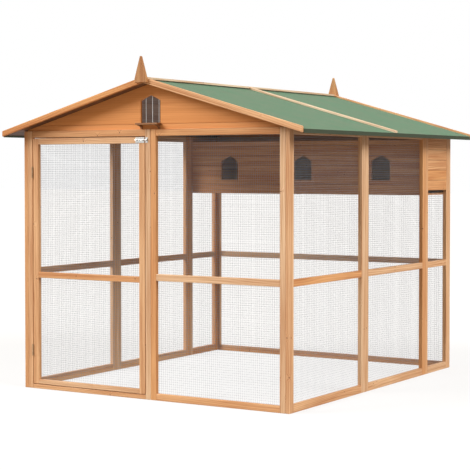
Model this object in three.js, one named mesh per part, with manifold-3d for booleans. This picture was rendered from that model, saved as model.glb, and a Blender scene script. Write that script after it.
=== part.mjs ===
// A walk-in pigeon loft: framed wire-mesh walls with a door, a raised bank of three nest boxes across
// the back, boarded gables with a bobbed pigeon entry, and a felted gable roof.
// Millimetres, +Z up. The origin is the middle of the footprint on the ground, the front faces -Y.
import * as THREE from "three";
import { mergeVertices } from "three/addons/utils/BufferGeometryUtils.js";
import Module from "manifold-3d";

const wasm = await Module();
wasm.setup();

// Overall size of the walls
const loftWidth = 1720;
const loftDepth = 2024;
const wallHeight = 1448;

// Gap left between two pieces that are screwed or laid together
const fit = 0.3;
// How far a cutting solid runs past the piece that it cuts
const overrun = 5;
const mergeDistance = 0.001;

// Framed wall panels
const panelThickness = 24;
const railHeight = 36;
const midRailBottom = 640;
const sideStile = 42;
const nestBayStile = 36;
const backStile = 40;
const sideFootRail = 42;
const frontStile = 34;
const easedEdge = 1.5;
const curveSegments = 6;
const doorwayWidth = 843;
const doorwaySill = 24;
const frontBayDepth = 846;
const nestBayDepth = 346;

// Door leaf
const doorGap = 4;
const doorHeadGap = 5;
const hingeGap = 3.4;
const doorStile = 38;
const doorTopRail = 34;
const doorMidRail = 32;
const doorMidDrop = 14;
const doorBottomRail = 25;
const doorFootGap = 3;

// Wire netting: one wire in twelve of the 12.7 mm mesh is drawn, a little thicker than life
const meshPitch = 12.7;
const wiresPerGap = 12;
const netWire = 2.4;
const netThickness = 1.6;
const netLap = 14;

// Weatherboarding
const boardThickness = 12;
const boardCover = 61;
const sideBoards = 5;
const grooveWidth = 3;
const grooveDepth = 2.5;
const claddingRecess = 2;
const gableSetback = 12;
const gableFirstBoard = 28;
const gableBoardCover = 300;
const gableTipHeight = 4;

// Roof
const roofPitch = 15.85;
const eaveOverhang = 106;
const gableOverhang = 50;
const deckThickness = 15;
const feltThickness = 2.5;
const feltReturn = 24;
const ridgeBattenWidth = 44;
const ridgeBattenHeight = 11;
const seamBattenWidth = 34;
const seamBattenThickness = 12;
const bargeThickness = 16;
const bargeUpstand = 15.4;
const finialWidth = 76;
const finialSide = 21;
const finialHeight = 139;
const finialThickness = 16;
const finialTipWidth = 6;

// Nest boxes
const nestHeight = 335;
const nestDepth = 339;
const nestBoard = 12;
const nestGap = 0.6;
const popHoleWidth = 126;
const popHoleHeight = 155;
const popHoleRise = 34;
const popHoleSill = 88;
const popHoleSpacing = 545;
const popHoleFullness = 0.1;

// Pigeon entry in the front gable, with its landing ledge
const entryWidth = 128;
const entryHeight = 148;
const entryRise = 30;
const entrySill = 34;
const ledgeLength = 142;
const ledgeDepth = 44;
const ledgeThickness = 10;
const ledgeDrop = 1;
const bracketThickness = 12;
const bracketInset = 14;
const bracketHeight = 21;
const bracketDepth = 34;
const bracketToe = 4;

// Bob wires that hang inside the entry and swing inwards only
const bobCount = 3;
const bobSpacing = 42;
const bobWire = 4;
const bobBelowSill = 12;
const bobRodDiameter = 4;
const bobRodOverhang = 8;
const bobRodAboveEntry = 2;
const bobRodStandoff = 8;
const bobEyeClearance = 0.4;
const roundSides = 12;
const eyeSteps = 16;

// Door hinges
const hingeHeight = 62;
const hingeLeafDepth = 19;
const hingeLeafThickness = 1.2;
const hingeKnuckleRadius = 3.5;
const hingePinRadius = 1.6;
const hingePinClearance = 0.35;
const hingePinHead = 1.4;
const hingePinHeadRadius = 2.9;
const hingeFromBottom = 190;
const hingeFromTop = 190;
const knuckleGap = 0.4;

// Slide bolt at the top of the door
const boltPlateHeight = 30;
const boltPlateThickness = 1.5;
const boltRadius = 3;
const boltClearance = 0.4;
const boltLoopWall = 1.5;
const boltLoopLength = 11;
const boltTravel = 24;
const boltKnobRadius = 3.2;
const boltKnobLength = 11;
const boltKnobRoom = 1.8;
const boltBelowDoorTop = 16;
const boltPlateInset = 1;
const keeperLength = 15;
const keeperEntry = 2;

const wood = new THREE.MeshStandardMaterial({ color: 0xd2935c, roughness: 0.62, metalness: 0 });
const paleWood = new THREE.MeshStandardMaterial({ color: 0xe6c59b, roughness: 0.6, metalness: 0 });
const innerWood = new THREE.MeshStandardMaterial({ color: 0x9a6a40, roughness: 0.7, metalness: 0 });
const felt = new THREE.MeshStandardMaterial({ color: 0x5f8a6b, roughness: 0.95, metalness: 0 });
const wire = new THREE.MeshStandardMaterial({ color: 0xb4b8b8, roughness: 0.4, metalness: 0.9 });
const zinc = new THREE.MeshStandardMaterial({ color: 0xc9cac6, roughness: 0.35, metalness: 1 });

// Sizes that follow from the ones above
const halfWidth = loftWidth / 2;
const halfDepth = loftDepth / 2;
const slope = Math.tan(THREE.MathUtils.degToRad(roofPitch));
const upright = 1 / Math.cos(THREE.MathUtils.degToRad(roofPitch));
const eaveHalfWidth = halfWidth + eaveOverhang;
const roofHalfLength = halfDepth + gableOverhang;
const deckUnderside = (x) => wallHeight + fit + slope * (halfWidth - Math.abs(x));
const deckTop = (x) => deckUnderside(x) + deckThickness * upright;
const feltTop = (x) => deckTop(x) + (fit + feltThickness) * upright;
const nestTop = wallHeight - railHeight;
const nestBottom = nestTop - nestHeight;
const gableBase = wallHeight + fit;
const gableFaceY = -halfDepth + gableSetback;
const gableInnerY = gableFaceY + boardThickness;
const entryBottom = gableBase + entrySill;

// Solids and meshes

function toSolid(geometry) {
  const bare = geometry.index ? geometry.toNonIndexed() : geometry.clone();
  bare.deleteAttribute("normal");
  bare.deleteAttribute("uv");
  const merged = mergeVertices(bare, mergeDistance);
  return new wasm.Manifold(
    new wasm.Mesh({
      numProp: 3,
      vertProperties: merged.attributes.position.array,
      triVerts: new Uint32Array(merged.index.array),
    }),
  );
}

function toGeometry(solid) {
  const mesh = solid.getMesh();
  const geometry = new THREE.BufferGeometry();
  geometry.setAttribute("position", new THREE.BufferAttribute(mesh.vertProperties, mesh.numProp));
  geometry.setIndex(new THREE.BufferAttribute(mesh.triVerts, 1));
  geometry.computeVertexNormals();
  return geometry;
}

function union(...geometries) {
  return toGeometry(geometries.map(toSolid).reduce((whole, piece) => whole.add(piece)));
}

function cut(geometry, ...tools) {
  return toGeometry(tools.map(toSolid).reduce((rest, tool) => rest.subtract(tool), toSolid(geometry)));
}

function addMesh(parent, name, geometry, material, x = 0, y = 0, z = 0) {
  const mesh = new THREE.Mesh(geometry, material);
  mesh.name = name;
  mesh.position.set(x, y, z);
  parent.add(mesh);
  return mesh;
}

function outlineOf(points, Kind = THREE.Shape) {
  const outline = new Kind();
  points.forEach(([x, y], i) => (i ? outline.lineTo(x, y) : outline.moveTo(x, y)));
  outline.closePath();
  return outline;
}

function rectangle(left, bottom, right, top, Kind = THREE.Shape) {
  return outlineOf([[left, bottom], [right, bottom], [right, top], [left, top]], Kind);
}

function box(width, depth, height) {
  return new THREE.BoxGeometry(width, depth, height);
}

// A flat outline drawn upright as seen from outside, and given its thickness: the outer face is at
// y = 0 and the thickness runs inwards, along +Y.
function upstanding(outline, thickness) {
  const plain = new THREE.ExtrudeGeometry(outline, { depth: thickness, bevelEnabled: false });
  return plain.rotateX(Math.PI / 2).translate(0, thickness, 0);
}

// The same, as sawn timber with its arrises eased.
function timber(outline, thickness) {
  const eased = new THREE.ExtrudeGeometry(outline, {
    depth: thickness - 2 * easedEdge,
    bevelThickness: easedEdge,
    bevelSize: easedEdge,
    bevelOffset: -easedEdge,
    bevelSegments: 1,
    curveSegments,
  });
  return eased.rotateX(Math.PI / 2).translate(0, thickness - easedEdge, 0);
}

// Walls

// Two stiles joined by rails, with an open bay between each rail and the next one up.
function framedPanel(width, height, stile, rails, foot = 0) {
  const outline = rectangle(0, foot, width, height);
  for (let i = 1; i < rails.length; i++) {
    outline.holes.push(rectangle(stile, rails[i - 1][1], width - stile, rails[i][0], THREE.Path));
  }
  return timber(outline, panelThickness);
}

const wallRails = [
  [0, railHeight],
  [midRailBottom, midRailBottom + railHeight],
  [wallHeight - railHeight, wallHeight],
];

// Where the wires of a net start and end, over a length: whole gaps, and a wire at either end.
function wireEdges(length) {
  const gaps = Math.max(1, Math.floor((length - netWire) / (meshPitch * wiresPerGap)));
  const edges = [];
  for (let i = 0; i <= gaps; i++) {
    const start = (i * (length - netWire)) / gaps;
    edges.push(start, start + netWire);
  }
  return edges;
}

// A flat net, standing like a panel: its wires cross in one sheet, with an open square between them.
function wireNet(width, height) {
  const across = wireEdges(width);
  const up = wireEdges(height);
  const corners = [];
  for (const z of up) {
    for (const x of across) {
      corners.push(x, 0, z, x, netThickness, z);
    }
  }
  const corner = (i, j, layer) => 2 * (j * across.length + i) + layer;
  const inside = (i, j) => i >= 0 && j >= 0 && i < across.length - 1 && j < up.length - 1;
  const solid = (i, j) => inside(i, j) && (i % 2 === 0 || j % 2 === 0);
  const faces = [];
  const quad = (a, b, c, d) => faces.push(a, b, c, a, c, d);
  for (let j = 0; j < up.length - 1; j++) {
    for (let i = 0; i < across.length - 1; i++) {
      if (!solid(i, j)) continue;
      const [near, far] = [0, 1].map((layer) => [
        corner(i, j, layer),
        corner(i + 1, j, layer),
        corner(i + 1, j + 1, layer),
        corner(i, j + 1, layer),
      ]);
      quad(near[0], near[1], near[2], near[3]);
      quad(far[3], far[2], far[1], far[0]);
      if (!solid(i, j - 1)) quad(near[0], far[0], far[1], near[1]);
      if (!solid(i + 1, j)) quad(near[1], far[1], far[2], near[2]);
      if (!solid(i, j + 1)) quad(near[2], far[2], far[3], near[3]);
      if (!solid(i - 1, j)) quad(near[3], far[3], far[0], near[0]);
    }
  }
  const net = new THREE.BufferGeometry();
  net.setAttribute("position", new THREE.BufferAttribute(new Float32Array(corners), 3));
  net.setIndex(faces);
  net.computeVertexNormals();
  return net;
}

// A net stapled behind a panel: it laps onto the stiles, and onto the rails below and above it.
function addNet(parent, name, left, width, stile, bottom, top) {
  const net = wireNet(width - 2 * (stile - netLap), top - bottom + 2 * netLap);
  addMesh(parent, name, net, wire, left + stile - netLap, panelThickness + fit, bottom - netLap);
}

// Tongued and grooved boards laid level, seen as one sheet with a V groove at each joint.
function boards(width, height, firstJoint, cover) {
  const section = [[0, 0]];
  for (let joint = firstJoint; joint < height - grooveWidth; joint += cover) {
    section.push([0, joint - grooveWidth / 2]);
    section.push([grooveDepth, joint]);
    section.push([0, joint + grooveWidth / 2]);
  }
  section.push([0, height], [boardThickness, height], [boardThickness, 0]);
  const sheet = new THREE.ExtrudeGeometry(outlineOf(section), { depth: width, bevelEnabled: false });
  // the section is drawn as (inwards, up) and runs along the wall
  return sheet.rotateX(Math.PI / 2).rotateZ(Math.PI / 2);
}

const loft = new THREE.Group();

function wallGroup(x, y, turn) {
  const wall = new THREE.Group();
  wall.position.set(x, y, 0);
  wall.rotation.z = turn;
  loft.add(wall);
  return wall;
}

const frontWall = wallGroup(0, -halfDepth, 0);
const rightWall = wallGroup(halfWidth, 0, Math.PI / 2);
const backWall = wallGroup(0, halfDepth, Math.PI);
const leftWall = wallGroup(-halfWidth, 0, -Math.PI / 2);

// Front wall: the doorway frame and, to its right, a fixed panel
const frontLeftEdge = -halfWidth + panelThickness + fit;
const frontRightEdge = halfWidth - panelThickness - fit;
const doorwayRight = frontLeftEdge + doorwayWidth;
const fixedLeft = doorwayRight + fit;
const fixedWidth = frontRightEdge - fixedLeft;
const doorwayRails = [
  [0, doorwaySill],
  [wallHeight - railHeight, wallHeight],
];

addMesh(
  frontWall,
  "door_frame",
  framedPanel(doorwayWidth, wallHeight, frontStile, doorwayRails),
  wood,
  frontLeftEdge,
);
addMesh(
  frontWall,
  "front_panel_frame",
  framedPanel(fixedWidth, wallHeight, frontStile, wallRails),
  wood,
  fixedLeft,
);
const openTop = wallHeight - railHeight;
addNet(frontWall, "front_panel_net", fixedLeft, fixedWidth, frontStile, railHeight, openTop);

// Side walls: front bay, middle bay, and the shallow nest bay, boarded beside the nest boxes
const middleBayStart = -halfDepth + frontBayDepth;
const nestBayStart = halfDepth - panelThickness - nestBayDepth;
const bays = [
  { name: "front", start: -halfDepth, depth: frontBayDepth, stile: sideStile },
  { name: "middle", start: middleBayStart, depth: nestBayStart - middleBayStart, stile: sideStile },
  { name: "nest", start: nestBayStart, depth: nestBayDepth, stile: nestBayStile },
];

const sideRails = [[0, sideFootRail], ...wallRails.slice(1)];
const claddingBottom = openTop - sideBoards * boardCover;

for (const [side, wall, sign] of [["right", rightWall, 1], ["left", leftWall, -1]]) {
  for (const bay of bays) {
    const width = bay.depth - fit;
    const left = sign > 0 ? bay.start : -bay.start - width;
    const name = `${side}_${bay.name}`;
    const frame = framedPanel(width, wallHeight, bay.stile, sideRails);
    addMesh(wall, `${name}_frame`, frame, wood, left);
    const netTop = bay.name === "nest" ? claddingBottom : openTop;
    addNet(wall, `${name}_net`, left, width, bay.stile, sideFootRail, netTop);
    if (bay.name === "nest") {
      const claddingWidth = width - 2 * bay.stile - 2 * fit;
      const cladding = boards(claddingWidth, openTop - claddingBottom - fit, boardCover, boardCover);
      const claddingLeft = left + bay.stile + fit;
      addMesh(wall, `${name}_cladding`, cladding, wood, claddingLeft, claddingRecess, claddingBottom);
    }
  }
}

// Back wall: one wide panel across the ends of the side walls. It has a rail behind the floor of the
// nest boxes, and boards behind the boxes.
const nestRailTop = nestBottom + railHeight;
const backRails = [wallRails[0], wallRails[1], [nestBottom, nestRailTop], wallRails[2]];
const backFrame = framedPanel(loftWidth, wallHeight, backStile, backRails);
addMesh(backWall, "back_frame", backFrame, wood, -halfWidth);
addNet(backWall, "back_net", -halfWidth, loftWidth, backStile, railHeight, nestBottom);
addMesh(
  backWall,
  "back_cladding",
  boards(loftWidth - 2 * backStile - 2 * fit, openTop - nestRailTop - 2 * fit, boardCover, boardCover),
  wood,
  backStile + fit - halfWidth,
  claddingRecess,
  nestRailTop + fit,
);

// Door leaf, hung on the left
const door = new THREE.Group();
frontWall.add(door);
const doorLeft = frontLeftEdge + frontStile + hingeGap;
const doorRight = doorwayRight - frontStile - doorGap;
const doorBottom = doorwaySill + doorFootGap;
const doorTop = openTop - doorHeadGap;
const doorWidth = doorRight - doorLeft;
const doorRails = [
  [doorBottom, doorBottom + doorBottomRail],
  [midRailBottom - doorMidDrop, midRailBottom - doorMidDrop + doorMidRail],
  [doorTop - doorTopRail, doorTop],
];
const doorFrame = framedPanel(doorWidth, doorTop, doorStile, doorRails, doorBottom);
addMesh(door, "door_leaf", doorFrame, wood, doorLeft);
const doorBay = [doorBottom + doorBottomRail, doorTop - doorTopRail];
addNet(door, "door_net", doorLeft, doorWidth, doorStile, ...doorBay);

// Butt hinges in the gap at the left of the door, with their knuckles in front of the face
const hingeX = doorLeft - hingeGap / 2;
const hingeY = -hingeKnuckleRadius - fit;

function upCylinder(radius, height, z) {
  const cylinder = new THREE.CylinderGeometry(radius, radius, height, roundSides);
  return cylinder.rotateX(Math.PI / 2).translate(0, 0, z);
}

// Three knuckles share the hinge's height: the middle one is the door's.
const knuckleHeight = (hingeHeight - 2 * knuckleGap) / 3;
const leafY = hingeY + hingeLeafDepth / 2;

function hingeLeaf(knuckleHeights, leafX) {
  const barrels = knuckleHeights.map((z) => upCylinder(hingeKnuckleRadius, knuckleHeight, z));
  const plate = box(hingeLeafThickness, hingeLeafDepth, hingeHeight).translate(leafX, leafY - hingeY, 0);
  const bore = upCylinder(hingePinRadius + hingePinClearance, hingeHeight + overrun, 0);
  const others = [-1, 0, 1]
    .map((place) => place * (knuckleHeight + knuckleGap))
    .filter((z) => !knuckleHeights.includes(z))
    .map((z) => upCylinder(hingeKnuckleRadius + knuckleGap, knuckleHeight + 2 * knuckleGap, z));
  return cut(union(plate, ...barrels), bore, ...others);
}

const leafShift = fit / 2 + hingeLeafThickness / 2;
const knuckleStep = knuckleHeight + knuckleGap;
const pinLength = hingeHeight + 2 * fit;
for (const [place, z] of [
  ["upper", doorTop - hingeFromTop],
  ["lower", doorBottom + hingeFromBottom],
]) {
  const pin = union(
    upCylinder(hingePinRadius, pinLength, 0),
    upCylinder(hingePinHeadRadius, hingePinHead, pinLength / 2),
    upCylinder(hingePinHeadRadius, hingePinHead, -pinLength / 2),
  );
  const bored = hingeLeaf([-knuckleStep, knuckleStep], -leafShift);
  // the pin is riveted over at both ends, so it stays in the frame's leaf
  addMesh(frontWall, `${place}_hinge_frame_leaf`, union(bored, pin), zinc, hingeX, hingeY, z);
  addMesh(door, `${place}_hinge_door_leaf`, hingeLeaf([0], leafShift), zinc, hingeX, hingeY, z);
}

// Slide bolt: a plate with two guide loops on the door, the bolt, and a keeper on the door frame
const boltZ = doorTop - boltBelowDoorTop;
const boltY = -boltPlateThickness - fit - boltRadius - boltClearance;

// A D-shaped bar along the bolt, from its flat side up to a round back: its section is drawn as
// (up, outwards) and turned to run along +X.
function dBar(radius, backDepth, length) {
  const section = new THREE.Shape();
  section.moveTo(-radius, -backDepth);
  section.lineTo(radius, -backDepth);
  section.lineTo(radius, 0);
  section.absarc(0, 0, radius, 0, Math.PI, false);
  section.closePath();
  const bar = new THREE.ExtrudeGeometry(section, {
    depth: length,
    bevelEnabled: false,
    curveSegments: roundSides,
  });
  return bar.translate(0, 0, -length / 2).rotateY(Math.PI / 2).rotateX(Math.PI);
}

// A plate with straps bent over the bolt, at the given places along it
function boltPlate(length, places) {
  const hollow = boltRadius + boltClearance;
  const plate = box(length, boltPlateThickness, boltPlateHeight);
  plate.translate(length / 2, hollow + boltPlateThickness / 2, 0);
  const straps = places.map((x) =>
    dBar(hollow + boltLoopWall, hollow + boltPlateThickness, boltLoopLength).translate(x, 0, 0),
  );
  const channels = places.map((x) => dBar(hollow, hollow, boltLoopLength + overrun).translate(x, 0, 0));
  return cut(union(plate, ...straps), ...channels);
}

const knobRun = boltTravel + 2 * (boltKnobRadius + boltKnobRoom);
const boltPlateLength = 2 * (boltPlateInset + boltLoopLength) + knobRun;
const plateLeft = doorRight - boltPlateInset - boltPlateLength;
const firstLoop = boltLoopLength / 2 + boltPlateInset;
const lastLoop = boltPlateLength - firstLoop;
const guide = boltPlate(boltPlateLength, [firstLoop, lastLoop]);
addMesh(door, "bolt_guide", guide, zinc, plateLeft, boltY, boltZ);

const keeperLeft = doorwayRight - frontStile + keeperEntry;
const keeper = boltPlate(keeperLength, [keeperLength / 2]);
addMesh(frontWall, "bolt_keeper", keeper, zinc, keeperLeft, boltY, boltZ);

// The bolt is drawn back: it slides right by its travel to enter the keeper.
const boltRod = new THREE.CylinderGeometry(boltRadius, boltRadius, boltPlateLength, 2 * roundSides);
boltRod.rotateZ(Math.PI / 2).translate(boltPlateLength / 2, 0, 0);
const knobStart = firstLoop + boltLoopLength / 2 + boltKnobRadius + boltKnobRoom;
const knob = new THREE.CylinderGeometry(boltKnobRadius, boltKnobRadius, boltKnobLength, roundSides);
knob.translate(knobStart, -boltKnobLength / 2, 0);
addMesh(door, "slide_bolt", union(boltRod, knob), zinc, plateLeft, boltY, boltZ);

// Gables: boards between the wall head and the underside of the roof

// A house-shaped hole with a pointed head, drawn upright from the middle of its sill.
function popHole(width, height, rise) {
  const half = width / 2;
  const shoulder = height - rise;
  const middle = height - rise * (0.5 - popHoleFullness);
  const hole = new THREE.Shape();
  hole.moveTo(-half, 0);
  hole.lineTo(half, 0);
  hole.lineTo(half, shoulder);
  hole.quadraticCurveTo(half / 2, middle, 0, height);
  hole.quadraticCurveTo(-half / 2, middle, -half, shoulder);
  hole.closePath();
  const drill = new THREE.ExtrudeGeometry(hole, {
    depth: boardThickness + 2 * overrun,
    bevelEnabled: false,
    curveSegments: 5,
  });
  return drill.rotateX(Math.PI / 2).translate(0, boardThickness + overrun, 0);
}

const gableHalf = halfWidth - (gableTipHeight + 2 * fit) / slope;
const gableHead = (x) => deckUnderside(x) - fit - gableBase;

function gableBoards(...holes) {
  const sheet = boards(loftWidth, gableHead(0), gableFirstBoard, gableBoardCover);
  const outline = outlineOf([
    [-gableHalf, 0],
    [gableHalf, 0],
    [gableHalf, gableHead(gableHalf)],
    [0, gableHead(0)],
    [-gableHalf, gableHead(gableHalf)],
  ]);
  const prism = upstanding(outline, boardThickness + 2 * overrun).translate(0, -overrun, 0);
  const triangle = toSolid(sheet.translate(-halfWidth, 0, 0)).intersect(toSolid(prism));
  return cut(toGeometry(triangle), ...holes);
}

const entryHole = popHole(entryWidth, entryHeight, entryRise).translate(0, 0, entrySill);
addMesh(frontWall, "front_gable", gableBoards(entryHole), wood, 0, gableSetback, gableBase);
addMesh(backWall, "back_gable", gableBoards(), wood, 0, gableSetback, gableBase);

// Landing ledge on two shaped brackets under the entry
const ledgeTop = entryBottom - ledgeDrop;
const ledgeOutline = rectangle(-ledgeLength / 2, 0, ledgeLength / 2, ledgeThickness);
addMesh(
  loft,
  "landing_ledge",
  timber(ledgeOutline, ledgeDepth),
  wood,
  0,
  gableFaceY - fit - ledgeDepth,
  ledgeTop - ledgeThickness,
);

function ledgeBracket() {
  const side = new THREE.Shape();
  side.moveTo(0, 0);
  side.lineTo(0, -bracketHeight);
  side.lineTo(-bracketToe, -bracketHeight);
  side.quadraticCurveTo(-bracketToe, -bracketToe, -bracketDepth, -bracketToe);
  side.lineTo(-bracketDepth, 0);
  side.closePath();
  const piece = new THREE.ExtrudeGeometry(side, {
    depth: bracketThickness,
    bevelEnabled: false,
    curveSegments: 6,
  });
  // the side is drawn as (outwards to the left, up) and is turned to stand across the ledge
  return piece.rotateX(Math.PI / 2).rotateZ(Math.PI / 2).translate(-bracketThickness / 2, 0, 0);
}

const bracketX = ledgeLength / 2 - bracketInset;
for (const [side, x] of [["left", -bracketX], ["right", bracketX]]) {
  const z = ledgeTop - ledgeThickness - fit;
  addMesh(loft, `${side}_ledge_bracket`, ledgeBracket(), wood, x, gableFaceY - fit, z);
}

// Bob wires: a rod inside the gable, its ends turned into the boards, with three wires hung on it
const bobRodZ = entryBottom + entryHeight + bobRodAboveEntry;
const bobRodY = gableInnerY + bobRodStandoff;
const bobRodHalf = entryWidth / 2 + bobRodOverhang;
const bobRodLeg = bobRodStandoff - fit;

function acrossCylinder(radius, length) {
  return new THREE.CylinderGeometry(radius, radius, length, roundSides).rotateZ(Math.PI / 2);
}

function bobRod() {
  const radius = bobRodDiameter / 2;
  const legs = [-bobRodHalf, bobRodHalf].flatMap((x) => [
    new THREE.CylinderGeometry(radius, radius, bobRodLeg, roundSides).translate(x, -bobRodLeg / 2, 0),
    new THREE.SphereGeometry(radius, roundSides, roundSides / 2).translate(x, 0, 0),
  ]);
  return union(acrossCylinder(radius, 2 * bobRodHalf), ...legs);
}

addMesh(loft, "bob_rod", bobRod(), zinc, 0, bobRodY, bobRodZ);

// A wire eye round the rod, standing in the plane across it
function rodEye(wireDiameter) {
  const radius = bobRodDiameter / 2 + bobEyeClearance + wireDiameter / 2;
  const ring = new THREE.TorusGeometry(radius, wireDiameter / 2, roundSides / 2, eyeSteps);
  return [ring.rotateY(Math.PI / 2), radius];
}

const bobs = new THREE.Group();
bobs.position.set(0, bobRodY, bobRodZ);
loft.add(bobs);
for (let i = 0; i < bobCount; i++) {
  const [ring, radius] = rodEye(bobWire);
  const length = bobRodZ - entryBottom + bobBelowSill - radius;
  const hanger = new THREE.CylinderGeometry(bobWire / 2, bobWire / 2, length, roundSides);
  hanger.rotateX(Math.PI / 2).translate(0, 0, -radius - length / 2);
  const x = (i - (bobCount - 1) / 2) * bobSpacing;
  addMesh(bobs, `bob_wire_${i + 1}`, union(ring, hanger), zinc, x);
}

// Nest boxes: a boarded front with a hole for each box, a floor, a lid and two partitions
const nestHalf = halfWidth - panelThickness - fit - netThickness - nestGap;
const nestFrontY = halfDepth - nestDepth;
const nestInnerY = nestFrontY + nestBoard + fit;
const nestBackY = halfDepth - panelThickness - fit - netThickness - nestGap;
const boxPitch = (2 * halfWidth - 2 * panelThickness) / 3;
const nestInnerDepth = nestBackY - nestInnerY;
const nestHoles = [-popHoleSpacing, 0, popHoleSpacing].map((x) =>
  popHole(popHoleWidth, popHoleHeight, popHoleRise).translate(x, 0, popHoleSill),
);
const nestSheet = boards(2 * nestHalf, nestHeight, boardCover, boardCover).translate(-nestHalf, 0, 0);
addMesh(loft, "nest_front", cut(nestSheet, ...nestHoles), innerWood, 0, nestFrontY, nestBottom);

// Floor and lid fill the loft from wall to wall.
const levelBoard = () => box(2 * nestHalf, nestInnerDepth, nestBoard);
const levelY = nestInnerY + nestInnerDepth / 2;
const floorZ = nestBottom + fit;
const lidZ = nestTop - nestBoard - fit;
addMesh(loft, "nest_floor", levelBoard(), innerWood, 0, levelY, floorZ + nestBoard / 2);
addMesh(loft, "nest_lid", levelBoard(), innerWood, 0, levelY, lidZ + nestBoard / 2);
const partitionBottom = floorZ + nestBoard + fit;
const partitionHeight = lidZ - fit - partitionBottom;
for (const [side, x] of [["left", -boxPitch / 2], ["right", boxPitch / 2]]) {
  const partition = box(nestBoard, nestInnerDepth, partitionHeight);
  const middle = partitionBottom + partitionHeight / 2;
  addMesh(loft, `${side}_nest_partition`, partition, innerWood, x, levelY, middle);
}

// Roof: two decks to a slope, each with its felt, battens over the joints and boards along the verges

// A section drawn in the plane of the gable, as (across, up), given a length along the ridge
function alongRidge(points, length, start) {
  return upstanding(outlineOf(points), length).translate(0, start, 0);
}

const deckLength = roofHalfLength - fit / 2;
const slopes = [["right", 1], ["left", -1]];
const halves = [["front", -roofHalfLength], ["rear", fit / 2]];
const onSide = (sign, points) => points.map(([x, z]) => [sign * x, z]);

for (const [side, sign] of slopes) {
  const inner = fit / 2;
  const deckSection = onSide(sign, [
    [inner, deckUnderside(inner)],
    [eaveHalfWidth, deckUnderside(eaveHalfWidth)],
    [eaveHalfWidth, deckTop(eaveHalfWidth)],
    [inner, deckTop(inner)],
  ]);
  const feltInside = eaveHalfWidth + fit;
  const feltOutside = feltInside + feltThickness;
  const returnX = eaveHalfWidth - feltReturn;
  const clear = fit * upright;
  const feltSection = onSide(sign, [
    [inner, deckTop(inner) + clear],
    [feltInside, deckTop(feltInside) + clear],
    [feltInside, deckUnderside(feltInside) - clear],
    [returnX, deckUnderside(returnX) - clear],
    [returnX, deckUnderside(returnX) - clear - feltThickness * upright],
    [feltOutside, deckUnderside(feltOutside) - clear - feltThickness * upright],
    [feltOutside, feltTop(feltOutside)],
    [inner, feltTop(inner)],
  ]);
  for (const [half, start] of halves) {
    addMesh(loft, `${half}_${side}_roof_deck`, alongRidge(deckSection, deckLength, start), wood);
    addMesh(loft, `${half}_${side}_felt`, alongRidge(feltSection, deckLength, start), felt);
  }
  const battenStart = ridgeBattenWidth / 2 + fit;
  const battenUp = seamBattenThickness * upright;
  const battenSection = onSide(sign, [
    [battenStart, feltTop(battenStart) + clear],
    [feltOutside, feltTop(feltOutside) + clear],
    [feltOutside, feltTop(feltOutside) + clear + battenUp],
    [battenStart, feltTop(battenStart) + clear + battenUp],
  ]);
  const seamBatten = alongRidge(battenSection, seamBattenWidth, -seamBattenWidth / 2);
  addMesh(loft, `${side}_seam_batten`, seamBatten, paleWood);

  // Verge boards stand proud of the felt and meet at the ridge.
  const bargeSection = onSide(sign, [
    [inner, deckUnderside(inner)],
    [eaveHalfWidth, deckUnderside(eaveHalfWidth)],
    [eaveHalfWidth, deckTop(eaveHalfWidth) + bargeUpstand],
    [inner, deckTop(inner) + bargeUpstand],
  ]);
  const frontStart = -roofHalfLength - fit - bargeThickness;
  const rearStart = roofHalfLength + fit;
  for (const [end, start] of [["front", frontStart], ["rear", rearStart]]) {
    addMesh(loft, `${end}_${side}_barge`, alongRidge(bargeSection, bargeThickness, start), wood);
  }
}

// The ridge batten lies flat on the ridge.
const ridgeHalf = ridgeBattenWidth / 2;
const ridgeFoot = feltTop(0) + fit * upright;
const ridgeHead = ridgeFoot + ridgeBattenHeight;
const ridgeSection = [
  [-ridgeHalf, ridgeFoot],
  [ridgeHalf, ridgeFoot],
  [ridgeHalf, ridgeHead - easedEdge],
  [ridgeHalf - easedEdge, ridgeHead],
  [-ridgeHalf + easedEdge, ridgeHead],
  [-ridgeHalf, ridgeHead - easedEdge],
];
addMesh(loft, "ridge_batten", alongRidge(ridgeSection, 2 * roofHalfLength, -roofHalfLength), paleWood);

// Finials: a flat pointed board on each pair of verge boards
function finialBoard() {
  const half = finialWidth / 2;
  const tip = finialTipWidth / 2;
  const outline = outlineOf([
    [-half, 0],
    [half, 0],
    [half, finialSide],
    [tip, finialHeight],
    [-tip, finialHeight],
    [-half, finialSide],
  ]);
  return timber(outline, finialThickness);
}

const finialOut = roofHalfLength + 2 * fit + bargeThickness;
const finialZ = deckUnderside(0);
addMesh(loft, "front_finial", finialBoard(), wood, 0, -finialOut - finialThickness, finialZ);
addMesh(loft, "rear_finial", finialBoard(), wood, 0, finialOut, finialZ);

export default loft;
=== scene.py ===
"""Dresses the packed pigeon loft: planed timbers with grain and knots, welded netting, mineral felt,
boarding, nest boxes and bright zinc fittings."""

import math
import random

import bmesh
import bpy
from bpy.props import FloatProperty, FloatVectorProperty, IntProperty, PointerProperty
from bpy.types import Operator, Panel, PropertyGroup
from mathutils import Matrix, Vector, noise


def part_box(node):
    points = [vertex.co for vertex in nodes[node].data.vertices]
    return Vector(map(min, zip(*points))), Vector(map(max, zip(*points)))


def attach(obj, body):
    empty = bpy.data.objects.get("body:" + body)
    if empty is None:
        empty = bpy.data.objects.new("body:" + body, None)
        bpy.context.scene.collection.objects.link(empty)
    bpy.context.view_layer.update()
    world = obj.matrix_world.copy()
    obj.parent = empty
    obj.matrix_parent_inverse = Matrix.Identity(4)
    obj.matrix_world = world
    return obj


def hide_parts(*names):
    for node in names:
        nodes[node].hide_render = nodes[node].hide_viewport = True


bl_info = {
    "name": "Pigeon loft",
    "version": (1, 0, 0),
    "blender": (4, 5, 0),
    "location": "View3D > Sidebar > Loft",
    "description": "Dresses the packed pigeon loft with timber, netting, felt and fittings",
    "category": "Object",
}

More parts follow.
